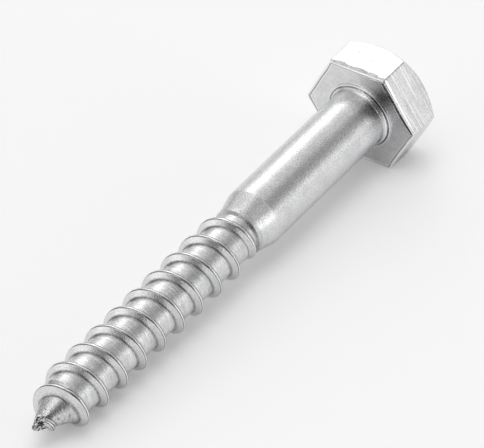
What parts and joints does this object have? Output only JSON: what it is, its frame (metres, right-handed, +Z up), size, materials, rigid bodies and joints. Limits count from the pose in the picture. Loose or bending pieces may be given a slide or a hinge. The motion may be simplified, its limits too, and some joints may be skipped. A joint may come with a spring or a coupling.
{
  "type": "lag screw",
  "caption": "Hexagon-head lag screw with a plain shank, a coarse right-hand wood thread and a gimlet point, lying at rest.",
  "frame": {"origin": "on the floor that the screw lies on, at the middle of its bounding box", "axes": "+X along the screw from head to point, +Z up; the screw lies on a flat of its head and on its thread, so its axis falls towards the point by about 3 degrees"},
  "size_m": [0.0874, 0.0196, 0.0173],
  "materials": {
    "zinc_plated_steel": "bright zinc plating, satin with fine grain"
  },
  "bodies": {
    "root": {"lag_screw": "zinc_plated_steel"}
  },
  "joints": []
}
